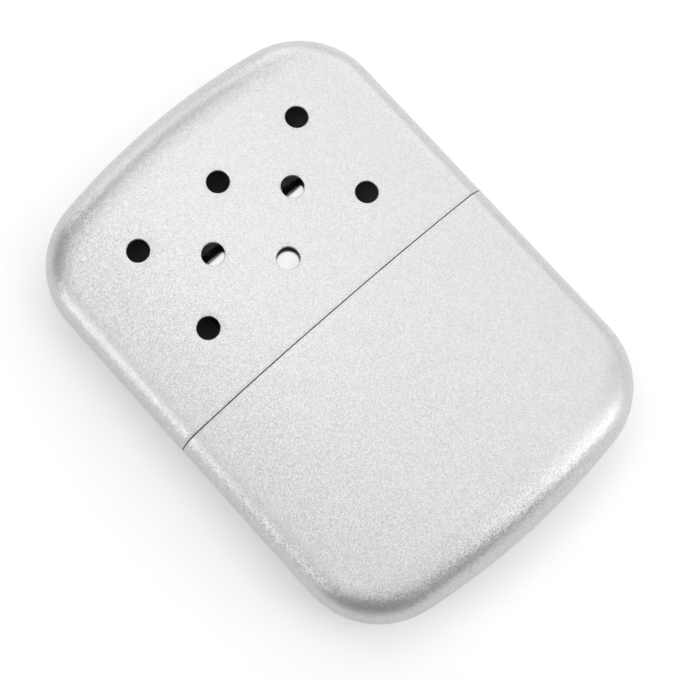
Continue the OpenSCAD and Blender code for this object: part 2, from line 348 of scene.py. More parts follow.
@dataclass(frozen=True)
class VentPattern:
    """Eight punched air holes in a staggered pattern, in millimetres."""

    diameter: float = 4.0
    step: float = 8.9
    first_y: float = 11.7
    punch_round: float = 0.14
    burr_round: float = 0.08
    cell_n: int = 24
    hole_n: int = 6
    round_n: int = 3

    @property
    def centres(self) -> list[Pair]:
        """Columns -2, 0 and 2 in the outer rows and -1 and 1 in the middle row."""
        columns = ((-2, 0, 2), (-1, 1), (-2, 0, 2))
        return [(c * self.step, self.first_y + r * self.step) for r in range(3) for c in columns[r]]

    @property
    def panel(self) -> Triple:
        """The square-celled panel that holds them: half width, low y and high y."""
        return 2.5 * self.step, self.first_y - self.step / 2, self.first_y + 2.5 * self.step

    def pierce(self, x: Array, y: Array, edge_round: float) -> tuple[Array, ...]:
        """Turns the square grid round each vent into circles.

        Each point has a square ring number k, its larger distance from the vent's
        centre. Its angle is the share of the way along that square's side. Rings from
        hole_n to hole_n + round_n are true circles that round the edge over, and from
        there out they turn evenly back into squares.

        Args:
            x: Grid of x.
            y: Grid of y.
            edge_round: Radius of the rounding at the hole's edge.

        Returns:
            The new x and y, how far each point sinks below the face, and which points
            lie inside a hole.
        """
        x, y, sink = x.copy(), y.copy(), np.zeros_like(x)
        inside = np.zeros(x.shape, bool)
        cell = self.step / self.cell_n
        half = self.cell_n // 2
        for centre_x, centre_y in self.centres:
            u = np.rint((x - centre_x) / cell)
            v = np.rint((y - centre_y) / cell)
            k = np.maximum(np.abs(u), np.abs(v))
            near = (k < half) & (np.abs(x - centre_x) < self.step) & (np.abs(y - centre_y) < self.step)
            un, vn, kn = u[near], v[near], k[near]
            flat = np.abs(un) >= np.abs(vn)
            share = np.where(flat, vn / np.where(un == 0, 1, un), un / np.where(vn == 0, 1, vn))
            angle = np.where(flat, share * math.pi / 4, math.pi / 2 - share * math.pi / 4)
            sign = np.where(np.where(flat, un, vn) < 0, -1.0, 1.0)
            round_over = np.clip((kn - self.hole_n) / self.round_n, 0, 1) * math.pi / 2
            radius = self.diameter / 2 + edge_round * (1 - np.cos(round_over))
            last = self.hole_n + self.round_n
            square = np.clip((kn - last) / (half - last), 0, 1)
            outward = radius + square * (self.step / 2 - radius)
            circle_x = outward * sign * np.cos(angle)
            circle_y = outward * sign * np.sin(angle)
            x[near] = centre_x + (1 - square) * circle_x + square * un * cell
            y[near] = centre_y + (1 - square) * circle_y + square * vn * cell
            sink[near] = edge_round * (1 - np.sin(round_over))
            inside |= (k < self.hole_n) & near
        return x, y, sink, inside

    def walls(self, outer: Array, inner: Array, lattice: tuple[Array, Array]) -> list[Surface]:
        """The hole walls, from the outer skin's grid of points to the inner skin's.

        Args:
            outer: Points of the outer face, shaped (rows, columns, 3).
            inner: Points of the inner face, shaped the same.
            lattice: The unpierced x and y of the grid.

        Returns:
            One short tube per vent.
        """
        x, y = lattice
        walls = []
        n = self.hole_n
        side = np.arange(-n, n)
        low = np.full(2 * n, -n)
        u = np.concatenate([side, -low, -side, low])
        v = np.concatenate([low, side, -low, -side])
        for centre_x, centre_y in self.centres:
            column = int(np.argmin(np.abs(x[len(x) // 2] - centre_x)))
            row = int(np.argmin(np.abs(y[:, column] - centre_y)))
            loop = (row + v, column + u)
            walls.append(Surface.grid(np.stack([outer[loop], inner[loop]]), wrap_columns=True).turned())
        return walls


@dataclass
class ShellGrid:
    """How finely a drawn cup is divided."""

    rim_rows: int
    panel_rows: int
    top_rows: int
    side_columns: int
    panel_columns: int
    edge_steps: int = 8
    lip_steps: int = 3


@dataclass
class DrawnCup:
    """A drawn sheet-metal cup, open at the seam: the cap, or mirrored, the tank."""

    form: DrawnForm
    length: float
    division: ShellGrid
    vents: VentPattern | None = None
    lip_round: float = 0.08
    plain_panel: Triple = (0.7, 0.15, 0.7)

    def panel(self) -> Triple:
        """Half width, low y and high y of the evenly divided part of the face."""
        if self.vents:
            return self.vents.panel
        width, low, high = self.plain_panel
        return width * self.form.half_w, low * self.length, high * self.length

    def face_lattice(self) -> tuple[Array, Array, Stations]:
        """The grid of one face, and the stations that its border follows.

        Rows run up the sides, and above the panel the columns run on to the end's
        rounded edge, so that no column closes up at the tip.

        Returns:
            Grids of x and y, and the stations from the right rim round the tip to the left rim.
        """
        form, cut = self.form, self.division
        half, low, high = self.panel()
        first = form.seam_gap / 2 + self.lip_round
        rows_y = np.concatenate([
            np.linspace(first, low, cut.rim_rows + 1)[:-1],
            np.linspace(low, high, cut.panel_rows + 1),
        ])
        straight_end = form.face_rim(form.bend(self.length, np.zeros(1), np.ones(1)))[1][0]
        turned = rows_y > straight_end
        rows_turn = np.where(turned, form.turn_at(self.length, rows_y, 1), 0)
        bent = form.bend(self.length, rows_turn, np.ones_like(rows_turn))
        rows = Stations(bent.centre_x, np.where(turned, bent.centre_y, rows_y),
                        bent.radius, rows_turn, bent.side)
        rows_x, rows_y = form.face_rim(rows)

        side = np.linspace(1, 0, cut.side_columns + 1)[:-1]
        middle = np.linspace(half, -half, cut.panel_columns + 1)
        top_x = rows_x[-1]
        beyond = side * (top_x - half)
        columns_x = np.concatenate([half + beyond, middle, -half - beyond[::-1]])
        columns_turn = form.turn_at(self.length, columns_x, 0)
        columns = form.bend(self.length, columns_turn, np.where(columns_x < 0, -1.0, 1.0))
        end_x, end_y = form.face_rim(columns)
        end_x[[0, -1]] = top_x, -top_x
        end_y[[0, -1]] = rows_y[-1]

        share = np.clip((np.abs(end_x) - half) / (top_x - half), 0, 1)
        x = np.where(np.abs(end_x) > half + WELD,
                     np.sign(end_x) * (half + share * (rows_x[:, None] - half)), end_x)
        y = np.broadcast_to(rows_y[:, None], x.shape)
        up = np.linspace(0, 1, cut.top_rows + 1)[1:, None]
        x = np.vstack([x, np.broadcast_to(end_x, (cut.top_rows, len(end_x)))])
        y = np.vstack([y, rows_y[-1] + up * (end_y - rows_y[-1])])

        border = Stations(*[
            np.concatenate([getattr(rows, part), getattr(columns, part)[1:-1], getattr(rows, part)[::-1]])
            for part in ("centre_x", "centre_y", "radius", "turn", "side")
        ])
        border.side[-len(rows_y):] = -1
        return x, y, border

    def skin(self, inset: float, edge_round: float, finish: Skin) -> tuple[Surface, Array, tuple]:
        """One skin of the cup, facing out: front face, back face and the edge between them.

        Args:
            inset: Distance inside the outside.
            edge_round: Rounding of the vents' edges in this skin.
            finish: Finish number of its faces.

        Returns:
            The surface, the points of its front face, and the lattice before piercing.
        """
        form = self.form
        x, y, border = self.face_lattice()
        back = np.stack([x, y, -form.face_height(x, inset)], -1)
        front_x, front_y, sink, keep = x, y, 0.0, None
        if self.vents:
            front_x, front_y, sink, inside = self.vents.pierce(x, y, edge_round)
            keep = ~(inside[:-1, :-1] | inside[:-1, 1:] | inside[1:, 1:] | inside[1:, :-1])
        sign = -1.0 if finish == Skin.INSIDE else 1.0
        front = np.stack([front_x, front_y, form.face_height(front_x, inset) - sign * sink], -1)
        steps = self.division.edge_steps
        around = np.concatenate([-quarter(steps)[:0:-1], quarter(steps)])
        parts = [
            Surface.grid(front, finish=finish, keep=keep).turned(),
            Surface.grid(back, finish=finish),
            Surface.grid(form.edge(border, around, inset), finish=finish).turned(),
        ]
        return Surface.joined(parts), front, (x, y)

    def lip(self) -> Surface:
        """The rim at the seam, from the outer skin to the inner one: coated over its corner, then bare in
        the dark lining, which paints shade into the seam slot.
        """
        form, steps = self.form, self.division.lip_steps
        across = self.face_lattice()[0][0, ::-1]
        drop, draw = rounding(self.lip_round, quarter(steps))
        y = form.seam_gap / 2 + np.concatenate([drop, draw])
        inset = np.concatenate([draw, form.sheet - drop])
        rows = form.ring(y, inset, across / across[-1], self.division.edge_steps)
        return Surface.joined([
            Surface.grid(rows[:steps + 1], wrap_columns=True),
            # inner half in the dark lining: painted shade in the seam slot
            Surface.grid(rows[steps:], wrap_columns=True, finish=Skin.INSIDE),
        ])

    def surface(self) -> Surface:
        """The whole cup as one closed surface."""
        punch, burr = (self.vents.punch_round, self.vents.burr_round) if self.vents else (0.0, 0.0)
        outer, front, lattice = self.skin(0.0, punch, Skin.OUTSIDE)
        inner, lining, _ = self.skin(self.form.sheet, burr, Skin.INSIDE)
        parts = [outer, inner.turned(), self.lip()]
        if self.vents:
            parts += self.vents.walls(front, lining, lattice)
        return Surface.joined(parts)


# ---------------------------------------------------------------- round-ended pieces


def filleted(corners: list[Pair], radii: list[float], steps: int = 6) -> Array:
    """A closed path through corners, each rounded by an arc that is tangent to both its sides.

    The arc's centre lies on the corner's bisector, and the arc turns from one
    tangent point to the other.

    Args:
        corners: The corners, in order.
        radii: One radius per corner, 0 for a sharp one.
        steps: Steps of each arc.

    Returns:
        Points shaped (n, 2).
    """
    points = np.array(corners, float)
    path = []
    for before, corner, after, radius in zip(np.roll(points, 1, 0), points, np.roll(points, -1, 0), radii):
        if radius == 0:
            path.append(corner[None])
            continue
        u = (before - corner) / np.linalg.norm(before - corner)
        v = (after - corner) / np.linalg.norm(after - corner)
        opening = math.acos(float(np.clip(u @ v, -1, 1)))
        centre = corner + (u + v) / np.linalg.norm(u + v) * radius / math.sin(opening / 2)
        start = corner + u * radius / math.tan(opening / 2) - centre
        stop = corner + v * radius / math.tan(opening / 2) - centre
        sweep = math.pi - opening
        turn = np.linspace(0, sweep, steps + 1)[:, None]
        across = (stop - start * math.cos(sweep)) / math.sin(sweep)
        path.append(centre + start * np.cos(turn) + across * np.sin(turn))
    return np.vstack(path)


def arc(x: float, y: float, radius: float, start: float, stop: float, steps: int) -> Array:
    """Points of an arc about (x, y) between two angles, which are in quarter turns."""
    turn = np.linspace(start, stop, steps + 1) * math.pi / 2
    return np.stack([x + radius * np.cos(turn), y + radius * np.sin(turn)], -1)


@dataclass(frozen=True)
class Oblong:
    """The round-ended outline that the neck and the whole burner follow, in millimetres."""

    run: float
    bend_steps: int = 28
    run_steps: int = 14

    def carry(self, profile: Array) -> Array:
        """Carries a profile round the oblong.

        A profile point (depth, height) goes out by its depth, square to the
        outline: round both ends as arcs and along both sides as straight runs.

        Args:
            profile: Points shaped (n, 2).

        Returns:
            Points shaped (n, points round the oblong, 3), set so that a profile that
            climbs the outside faces out.
        """
        turn = np.linspace(math.pi / 2, -math.pi / 2, self.bend_steps + 1)
        along = np.linspace(1, -1, self.run_steps + 1)[1:-1]
        level = np.zeros_like(along)
        out_x = np.concatenate([np.cos(turn), level, -np.cos(turn), level])
        out_z = np.concatenate([np.sin(turn), level - 1, -np.sin(turn), level + 1])
        centre_x = self.run * np.concatenate([np.ones_like(turn), along, -np.ones_like(turn), -along])
        depth, height = profile[:, :1], profile[:, 1:]
        x = centre_x + depth * out_x
        return np.stack([x, np.broadcast_to(height, x.shape), depth * out_z], -1)

    def onto(self, points: Array, depth: float, height: float) -> Array:
        """Moves points straight on to the oblong of a given depth: each goes to the nearest place."""
        nearest = np.clip(points[..., 0], -self.run, self.run)
        out = np.stack([points[..., 0] - nearest, points[..., 2]], -1)
        out /= np.linalg.norm(out, axis=-1, keepdims=True)
        level = np.full(nearest.shape, height)
        return np.stack([nearest + depth * out[..., 0], level, depth * out[..., 1]], -1)


@dataclass
class ShoulderCollar:
    """The plated insert that closes the tank, guides the cap and carries the neck."""

    form: DrawnForm
    oblong: Oblong
    depth: float
    rise: float
    hole: float
    gap: float = 0.1
    shoulder: float = 1.6
    edge_round: float = 0.12
    steps: int = 8
    lip_steps: int = 3
    wall_rows: int = 4
    plate_rows: int = 4
    columns: int = 33

    def surface(self) -> Surface:
        """One closed wall: up the outside, over the shoulder to the neck's hole and down the inside."""
        form, sheet, edge = self.form, self.form.sheet, self.edge_round
        outer = sheet + self.gap
        across = np.linspace(-1, 1, self.columns)
        drop, draw = rounding(self.shoulder, quarter(self.steps))
        under_drop, under_draw = rounding(self.shoulder - sheet, quarter(self.steps)[::-1])
        foot_drop, foot_draw = rounding(edge, quarter(self.lip_steps)[::-1])
        wall_y = np.linspace(edge - self.depth, self.rise - self.shoulder, self.wall_rows + 2)[1:-1]
        wall = np.full(self.wall_rows, outer)
        outside = form.ring(
            np.concatenate([foot_drop - self.depth, wall_y, self.rise - drop]),
            np.concatenate([outer + foot_draw, wall, outer + draw]), across, self.steps)
        inside = form.ring(
            np.concatenate([self.rise - sheet - under_drop, wall_y[::-1], foot_drop[::-1] - self.depth]),
            np.concatenate([outer + sheet + under_draw, wall + sheet, outer + sheet - foot_draw[::-1]]),
            across, self.steps)
        hole = np.array([
            self.oblong.onto(outside[-1], self.hole + edge, self.rise),
            self.oblong.onto(outside[-1], self.hole, self.rise - edge),
            self.oblong.onto(outside[-1], self.hole, self.rise - sheet),
        ])
        share = np.linspace(0, 1, self.plate_rows + 2)[1:-1, None, None]
        plate = outside[-1] + (hole[0] - outside[-1]) * share
        under = hole[-1] + (inside[0] - hole[-1]) * share
        rows = np.concatenate([outside, plate, hole, under, inside])
        return Surface.grid(rows, wrap_rows=True, wrap_columns=True).turned()


@dataclass
class FillerNeck:
    """The oblong brass spout with its bead, its rolled rim and the ledge for the grille."""

    oblong: Oblong
    base: float
    top: float
    flange: float
    bead_y: float
    wall: float = 0.5
    flange_w: float = 0.5
    flange_t: float = 0.5
    bead: float = 0.3
    ledge_w: float = 0.4
    ledge_t: float = 0.28
    ledge_round: float = 0.08
    flange_round: float = 0.15
    bore_round: float = 0.05

    @property
    def outside(self) -> float:
        """Half depth of the wall's outside."""
        return self.flange - self.flange_w

    def surface(self) -> Surface:
        """The wall's profile, drawn up the outside and down the bore, carried round the oblong."""
        bore = self.outside - self.wall
        ledge, rim = bore - self.ledge_w, self.wall / 2
        ledge_y, flange_y = self.base + self.ledge_t, self.base + self.flange_t
        foot = filleted(
            [(ledge, ledge_y), (ledge, self.base), (self.flange, self.base),
             (self.flange, flange_y), (self.outside, flange_y)],
            [self.ledge_round, self.ledge_round, self.flange_round, self.flange_round, 0.0], 3)
        profile = np.vstack([
            foot,
            arc(self.outside, self.bead_y, self.bead, -1, 1, 8),
            arc(bore + rim, self.top - rim, rim, 0, 2, 12),
            [(bore, ledge_y + self.bore_round), (bore - self.bore_round, ledge_y)],
        ])
        return Surface.grid(self.oblong.carry(profile), wrap_rows=True, wrap_columns=True)


@dataclass
class BurnerCover:
    """The bright plated cup over the burner, seen through the vents, with a window on top."""

    oblong: Oblong
    foot: float
    top: float
    outside: float
    sheet: float = 0.4
    shoulder: float = 2.4
    ledge: float = 0.65
    edge_round: float = 0.12
    arc_steps: int = 10

    @property
    def window(self) -> float:
        """Half depth of the window."""
        return self.outside - self.shoulder - self.ledge

    def surface(self) -> Surface:
        """Up the outside, over the shoulder, down through the window and down the inside."""
        bore = self.outside - self.sheet
        e = self.edge_round
        profile = filleted(
            [(self.outside, self.foot), (self.outside, self.top), (self.window, self.top),
             (self.window, self.top - self.sheet), (bore, self.top - self.sheet), (bore, self.foot)],
            [e, self.shoulder, e, e, self.shoulder - self.sheet, e], self.arc_steps)
        return Surface.grid(self.oblong.carry(profile), wrap_rows=True, wrap_columns=True)


@dataclass
class SoftPad:
    """A felt or fibre pad that fills the oblong: a closed, slightly uneven form."""

    oblong: Oblong
    profile: Array
    unevenness: float
    lump: float = 1.7
    core: float = 0.3

    def surface(self) -> Surface:
        """The profile starts and ends on the middle line, so the carried surface closes there.

        The unevenness is a product of two sines of the place, with odd factors so that
        no lump lines up with the next, and it only ever draws in.
        """
        points = self.oblong.carry(self.profile)
        x, y, z = points[..., 0], points[..., 1], points[..., 2]
        wave = np.sin(x / self.lump * 2.1 + 1.3 * np.sin(z * 1.9)) * np.sin(z / self.lump * 2.7 + 0.7 * y)
        drawn = self.unevenness * (0.5 + 0.5 * wave)
        nearest = np.clip(x, -self.oblong.run, self.oblong.run)
        middle = np.full(x.shape, self.profile[:, 1].mean())
        away = points - np.stack([nearest, middle, np.zeros_like(z)], -1)
        length = np.linalg.norm(away, axis=-1, keepdims=True)
        drawn_in = away / np.maximum(length, self.core) * drawn[..., None]
        return Surface.grid(points - drawn_in, wrap_columns=True)


@dataclass
class Batt:
    """One batt of cotton wadding, pressed to the tank's shape."""

    form: DrawnForm
    low: float
    high: float
    inset: float
    side: float
    top_y: float
    mouth_r: float = 3.0
    plan_n: int = 120
    rings: int = 14
    crowding: float = 1.6
    lump: float = 6.0
    unevenness: float = 0.12

    def surface(self) -> Surface:
        """A pillow on the tank's plan.

        The plan is straight at the mouth and bows with the tank's end arc further
        down, by the 4th power of the way. It is drawn in towards its middle ring by
        ring. At the share s of the way out, top and bottom stand off the middle level
        by their full height times the root of (1 - s to the 8th), and lumps draw both
        in a little.
        """
        form = self.form
        half = form.half_w - self.side
        tip = -form.tank_l + self.side
        tip_r = form.corner_r - self.side
        plan = resampled(filleted(
            [(half, self.top_y), (half, tip), (-half, tip), (-half, self.top_y)],
            [self.mouth_r, tip_r, tip_r, self.mouth_r], 10), self.plan_n)
        bow = np.clip((self.top_y - plan[:, 1]) / (self.top_y - tip), 0, 1) ** 4
        plan[:, 1] += bow * plan[:, 0] ** 2 / (2 * form.end_r)
        middle = np.array([0.0, (self.top_y + tip) / 2])
        out = 1 - np.linspace(0, 1, self.rings + 1) ** self.crowding
        places = middle + (plan - middle) * out[:, None, None]
        x, y = places[..., 0], places[..., 1]
        face = form.face_height(x, self.inset)
        high = np.minimum(self.high, face)
        low = np.maximum(self.low, -face)
        level = (high + low) / 2
        wave = np.sin(x / self.lump * 2 + np.sin(y / self.lump)) * np.sin(y / self.lump * 2.3 + 1)
        stand = np.sqrt(1 - out[:, None] ** 8) * ((high - low) / 2 - self.unevenness * (0.5 + 0.5 * wave))
        upper = np.stack([x, y, level + stand], -1)
        lower = np.stack([x, y, level - stand], -1)
        rows = np.concatenate([lower[::-1], upper[1:]])
        return Surface.grid(rows, wrap_columns=True).turned()


def resampled(path: Array, count: int) -> Array:
    """The same closed path with evenly spaced points, by its running length."""
    closed = np.vstack([path, path[:1]])
    run = np.concatenate([[0], np.cumsum(np.linalg.norm(np.diff(closed, axis=0), axis=1))])
    wanted = np.linspace(0, run[-1], count, endpoint=False)
    return np.stack([np.interp(wanted, run, closed[:, k]) for k in range(2)], -1)


# ---------------------------------------------------------------- finishes


def linear(colour: str) -> tuple[float, ...]:
    """Turns an sRGB hex colour to the linear values that the shader takes."""
    shares = [int(colour[k:k + 2], 16) / 255 for k in (1, 3, 5)]
    return tuple(s / 12.92 if s <= 0.04045 else ((s + 0.055) / 1.055) ** 2.4 for s in shares) + (1.0,)


def cleared(owner: Material | bpy.types.World) -> Tree:
    """The node tree of a material or a world, switched on and emptied."""
    owner.use_nodes = True
    owner.node_tree.nodes.clear()
    return owner.node_tree


def add(tree: Tree, kind: str, inputs: dict | None = None, stops: tuple = (), **settings) -> bpy.types.Node:
    """Adds a node, sets its properties, and fills or links its inputs.

    Args:
        tree: The node tree.
        kind: The node's Blender type, after "ShaderNode".
        inputs: Values or output sockets, by input name or number.
        stops: Place and hex colour of both stops, for a colour ramp.
        settings: Properties of the node.

    Returns:
        The node.
    """
    node = tree.nodes.new("ShaderNode" + kind)
    for name, value in settings.items():
        setattr(node, name, value)
    if stops:
        for element, (place, colour) in zip(node.color_ramp.elements, stops):
            element.position = place
            element.color = linear(colour)
    for name, value in (inputs or {}).items():
        if isinstance(value, Socket):
            tree.links.new(value, node.inputs[name])
        else:
            node.inputs[name].default_value = value
    return node


@dataclass(frozen=True)
class Finish:
    """A finish: the real material and how its surface was made. Subclasses fill the shader's inputs."""

    name: str

    def material(self) -> Material:
        """The finish as a Blender material with one Principled shader."""
        material = bpy.data.materials.new(self.name)
        tree = cleared(material)
        shader = add(tree, "BsdfPrincipled", self.inputs(tree))
        add(tree, "OutputMaterial", {"Surface": shader.outputs["BSDF"]})
        return material

    def millimetres(self, tree: Tree, stretch: Triple = (1, 1, 1)) -> Socket:
        """Object coordinates in millimetres, each axis divided by its stretch."""
        place = add(tree, "TexCoord")
        scale = tuple(1 / MM / s for s in stretch)
        return add(tree, "Mapping", {"Vector": place.outputs["Object"], "Scale": scale}).outputs["Vector"]

    def draw_lines(self, tree: Tree, stretch: Triple, detail: float, strength: float) -> Socket:
        """A normal with fine lines along the pull of the drawing press, from noise stretched that way."""
        drawn = self.millimetres(tree, stretch)
        lines = add(tree, "TexNoise", {"Vector": drawn, "Scale": 1.0, "Detail": detail})
        height = {"Height": lines.outputs["Fac"], "Strength": strength, "Distance": DRAW_DEPTH}
        return add(tree, "Bump", height).outputs["Normal"]

    def inputs(self, tree: Tree) -> dict:
        """Adds the nodes that drive the shader, and gives its inputs by name."""
        raise NotImplementedError


@dataclass(frozen=True)
class PowderCoat(Finish):
    """Baked polyester powder coat with aluminium flake, silver and matt.

    The eye sees a pale neutral grey with a crisp fine sparkle: each flake of about
    a tenth of a millimetre lies a little off level, and here and there one is dark.
    """

    name: str = "silver_powder_coat"
    dark: str = "#babbbb"
    light: str = "#d9d9d9"
    flake: float = 0.13
    tilt: float = 0.2
    orange_peel: float = 1.1
    peel_depth: float = 0.04
    metallic: float = 0.65
    roughness: float = 0.37

    def inputs(self, tree: Tree) -> dict:
        """Flake cells give the tone and tip the normal; slow noise gives the orange peel."""
        mm = self.millimetres(tree)
        flake = add(tree, "TexVoronoi", {"Vector": mm, "Scale": 1 / self.flake}).outputs["Color"]
        cell = add(tree, "SeparateColor", {"Color": flake})
        shade = add(tree, "ValToRGB", {"Fac": cell.outputs[0]}, ((0.0, self.dark), (1.0, self.light)))
        peel = add(tree, "TexNoise", {"Vector": mm, "Scale": 1 / self.orange_peel, "Detail": 2.0})
        bump = add(tree, "Bump", {
            "Height": peel.outputs["Fac"], "Strength": 0.3, "Distance": self.peel_depth * MM})
        off = add(tree, "VectorMath", {0: flake, 1: (0.5, 0.5, 0.5)}, operation="SUBTRACT")
        tip = add(tree, "VectorMath", {0: off.outputs[0], "Scale": self.tilt}, operation="SCALE")
        tipped = add(tree, "VectorMath", {0: bump.outputs["Normal"], 1: tip.outputs[0]}, operation="ADD")
        level = add(tree, "VectorMath", {0: tipped.outputs[0]}, operation="NORMALIZE")
        return {"Base Color": shade.outputs["Color"], "Normal": level.outputs[0],
                "Metallic": self.metallic, "Roughness": self.roughness}


@dataclass(frozen=True)
class TinplatePaintedShade(Finish):
    """Rolled tinplate, the uncoated inside of the drawn shells.

    Bare drawn metal in a grey darker than the metal, partly painted shade of the hollow insides and the
    seam slot; soft blotches, draw lines.
    """

    name: str = "tinplate_painted_shade"
    # darker than bare tinplate: partly painted shade for the hollow insides and the seam slot
    dark: str = "#8a8785"
    light: str = "#aaa7a4"
    blotch: float = 7.0
    metallic: float = 0.8
    roughness: float = 0.5

    def inputs(self, tree: Tree) -> dict:
        """Blotches from wide noise, and draw lines."""
        mm = self.millimetres(tree)
        blotch = add(tree, "TexNoise", {"Vector": mm, "Scale": 1 / self.blotch, "Detail": 4.0})
        tone = add(tree, "ValToRGB", {"Fac": blotch.outputs["Fac"]}, ((0.35, self.dark), (0.7, self.light)))
        lines = self.draw_lines(tree, (0.25, 8, 0.25), 2.0, 0.2)
        return {"Base Color": tone.outputs["Color"], "Normal": lines,
                "Metallic": self.metallic, "Roughness": self.roughness}


@dataclass(frozen=True)
class NickelPlate(Finish):
    """Bright nickel plate on drawn steel.

    A clear mirror in a neutral grey; faint draw lines and hairlines break the reflections.
    """

    name: str = "bright_nickel_plate"
    colour: str = "#bababb"
    smear: float = 2.5
    smooth: float = 0.13
    rough: float = 0.24

    def inputs(self, tree: Tree) -> dict:
        """Roughness from soft smears, and draw lines."""
        mm = self.millimetres(tree)
        smear = add(tree, "TexNoise", {"Vector": mm, "Scale": 1 / self.smear, "Detail": 5.0})
        rough = add(tree, "MapRange", {"Value": smear.outputs["Fac"], "From Min": 0.3, "From Max": 0.7,
                                       "To Min": self.smooth, "To Max": self.rough})
        lines = self.draw_lines(tree, (0.3, 12, 0.3), 3.0, 0.08)
        return {"Base Color": linear(self.colour), "Normal": lines,
                "Metallic": 1.0, "Roughness": rough.outputs["Result"]}


@dataclass(frozen=True)
class DrawnBrass(Finish):
    """Brass strip, drawn to a spout and left bare.

    Yellow metal with a light brown tarnish in soft clouds.
    """

    name: str = "drawn_brass"
    bright: str = "#d8b56a"
    tarnish: str = "#a9854a"
    clouds_per_mm: float = 0.35

    def inputs(self, tree: Tree) -> dict:
        """Tarnish clouds drive the colour and the roughness; draw lines lift the normal."""
        mm = self.millimetres(tree)
        clouds = add(tree, "TexNoise", {"Vector": mm, "Scale": self.clouds_per_mm, "Detail": 5.0})
        cloud = clouds.outputs["Fac"]
        tone = add(tree, "ValToRGB", {"Fac": cloud}, ((0.35, self.bright), (0.75, self.tarnish)))
        rough = add(tree, "MapRange", {"Value": cloud, "To Min": 0.18, "To Max": 0.42})
        lines = self.draw_lines(tree, (0.2, 6, 0.2), 2.0, 0.15)
        return {"Base Color": tone.outputs["Color"], "Normal": lines,
                "Metallic": 1.0, "Roughness": rough.outputs["Result"]}


@dataclass(frozen=True)
class RolledStainless(Finish):
    """Cold-rolled stainless sheet and spring strip.

    Grey metal with a soft shine and a fine grain along the rolling direction.
    """

    name: str = "rolled_stainless"
    bright: str = "#c6c6c4"
    dull: str = "#a5a4a1"
    grain: float = 0.12
    grain_depth: float = 0.01

    def inputs(self, tree: Tree) -> dict:
        """Grain from noise that is stretched across the warmer."""
        rolled = self.millimetres(tree, (9, self.grain, self.grain))
        grain = add(tree, "TexNoise", {"Vector": rolled, "Scale": 1.0, "Detail": 2.0}).outputs["Fac"]
        tone = add(tree, "ValToRGB", {"Fac": grain}, ((0.3, self.dull), (0.7, self.bright)))
        rough = add(tree, "MapRange", {"Value": grain, "To Min": 0.22, "To Max": 0.4})
        bump = add(tree, "Bump", {"Height": grain, "Strength": 0.15, "Distance": self.grain_depth * MM})
        return {"Base Color": tone.outputs["Color"], "Normal": bump.outputs["Normal"],
                "Metallic": 1.0, "Roughness": rough.outputs["Result"]}


@dataclass(frozen=True)
class MattedFibre(Finish):
    """Fibres pressed or carded into a mat: wool felt, cotton wadding or glass fibre.

    Dull and soft to the eye, with single fibres showing as fine curved threads.
    """

    name: str
    dark: str
    light: str
    fibre: float = 0.12
    clump: float = 1.5
    roughness: float = 0.95
    sheen: float = 0.3
    depth: float = 0.12

    def inputs(self, tree: Tree) -> dict:
        """Threads from warped noise, clumps from wide noise."""
        mm = self.millimetres(tree)
        clump = add(tree, "TexNoise", {"Vector": mm, "Scale": 1 / self.clump, "Detail": 3.0})
        warped = add(tree, "Mix", {0: 0.35, 4: mm, 5: clump.outputs["Color"]}, data_type="VECTOR")
        curled = {"Vector": warped.outputs[1], "Scale": 1 / self.fibre, "Detail": 2.0, "Distortion": 1.5}
        threads = add(tree, "TexNoise", curled).outputs["Fac"]
        mixed = add(tree, "Mix", {0: 0.5, 2: clump.outputs["Fac"], 3: threads}, data_type="FLOAT")
        tone = add(tree, "ValToRGB", {"Fac": mixed.outputs[0]}, ((0.35, self.dark), (0.65, self.light)))
        bump = add(tree, "Bump", {"Height": threads, "Strength": 0.6, "Distance": self.depth * MM})
        return {"Base Color": tone.outputs["Color"], "Normal": bump.outputs["Normal"],
                "Roughness": self.roughness, "Sheen Weight": self.sheen}


@dataclass(frozen=True)
class StudioPaper(Finish):
    """White paper roll under soft light. To the camera it glows up to plain white, and keeps the shadow."""

    name: str = "studio_paper"
    colour: str = "#d9d9d9"
    lift: float = 0.3

    def material(self) -> Material:
        """Diffuse paper, and for the camera and for mirror and glass rays a steady share of white."""
        material = bpy.data.materials.new(self.name)
        tree = cleared(material)
        paper = add(tree, "BsdfDiffuse", {"Color": linear(self.colour)})
        ray = add(tree, "LightPath").outputs
        seen = ray["Is Camera Ray"]
        for other in ("Is Glossy Ray", "Is Transmission Ray"):
            seen = add(tree, "Math", {0: seen, 1: ray[other]}, operation="MAXIMUM").outputs[0]
        strength = add(tree, "Math", {0: seen, 1: self.lift}, operation="MULTIPLY")
        glow = add(tree, "Emission", {"Strength": strength.outputs[0]})
        both = add(tree, "AddShader", {0: paper.outputs[0], 1: glow.outputs[0]})
        add(tree, "OutputMaterial", {"Surface": both.outputs[0]})
        return material


# ---------------------------------------------------------------- the warmer's sub-assemblies


@dataclass
class Dresser:
    """Makes pieces, gives them finishes and puts them on their bodies."""

    form: DrawnForm

    def piece(self, surface: Surface, name: str, finishes: list[Material], body: str, node: str,
              slot: str) -> bpy.types.Object:
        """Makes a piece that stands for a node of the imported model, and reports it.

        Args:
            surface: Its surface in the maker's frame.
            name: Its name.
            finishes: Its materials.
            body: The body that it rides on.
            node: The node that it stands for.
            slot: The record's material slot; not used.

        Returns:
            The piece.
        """
        made = surface.object(name, finishes, self.form.place)
        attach(made, body)
        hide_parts(node)
        log.info("%s: %d faces, stands for %s on %s", name, len(made.data.polygons), node, body)
        return made

    def coat(self, node: str, finish: Material) -> None:
        """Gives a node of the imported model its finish."""
        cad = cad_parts[node]
        cad.data.materials.clear()
        cad.data.materials.append(finish)
        log.info("%s: finished in %s", node, finish.name)


def heights(node: str, form: DrawnForm) -> Pair:
    """Lowest and highest y of a node, in millimetres in the maker's frame."""
    low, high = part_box(node)
    return low.y / MM - form.seam_y, high.y / MM - form.seam_y


